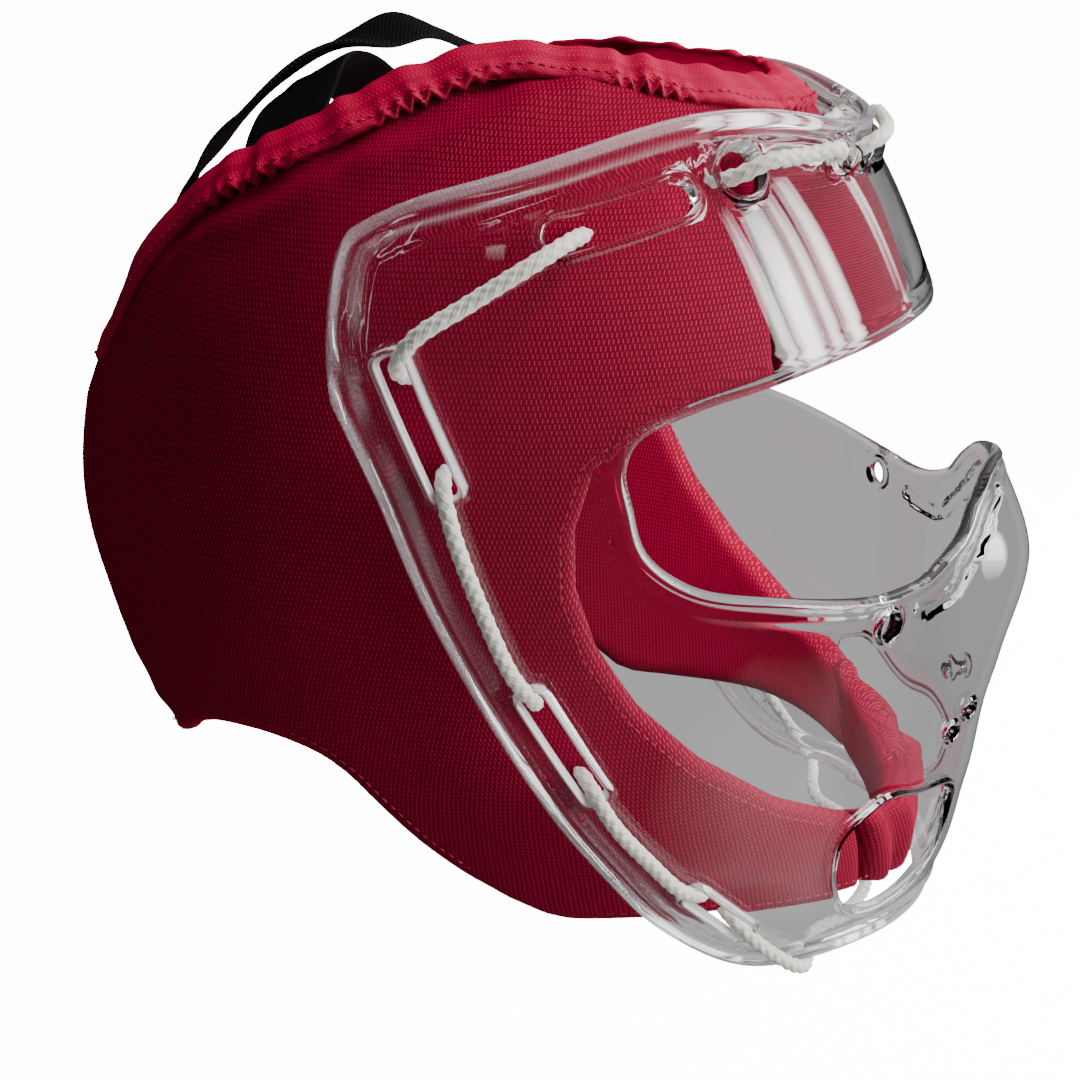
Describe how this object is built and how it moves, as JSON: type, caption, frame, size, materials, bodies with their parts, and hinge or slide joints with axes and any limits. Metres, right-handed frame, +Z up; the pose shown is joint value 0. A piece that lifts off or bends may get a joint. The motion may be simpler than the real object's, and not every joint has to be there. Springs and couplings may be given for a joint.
{
  "type": "field hockey headgear",
  "caption": "Padded knit hood, open at crown, face and neck, with a clear moulded face mask tied on by one white lace.",
  "frame": {"origin": "middle of the head hollow at brow level, the mount head_seat", "axes": "+Z up, the face looks along -Y, +X is the wearer's left"},
  "size_m": [0.1864, 0.23, 0.2184],
  "materials": {
    "red_knit": "ribbed knit over foam",
    "black_elastic": "woven elastic",
    "clear_shell": "clear moulded polycarbonate",
    "white_cord": "braided lace"
  },
  "bodies": {
    "root": {"hood_shell": "red_knit", "forehead_pad": "red_knit", "chin_cup": "red_knit", "crown_hem": "red_knit", "crown_strap_long": "black_elastic", "crown_strap_cross": "black_elastic", "face_mask": "clear_shell", "lace": "white_cord"}
  },
  "joints": []
}
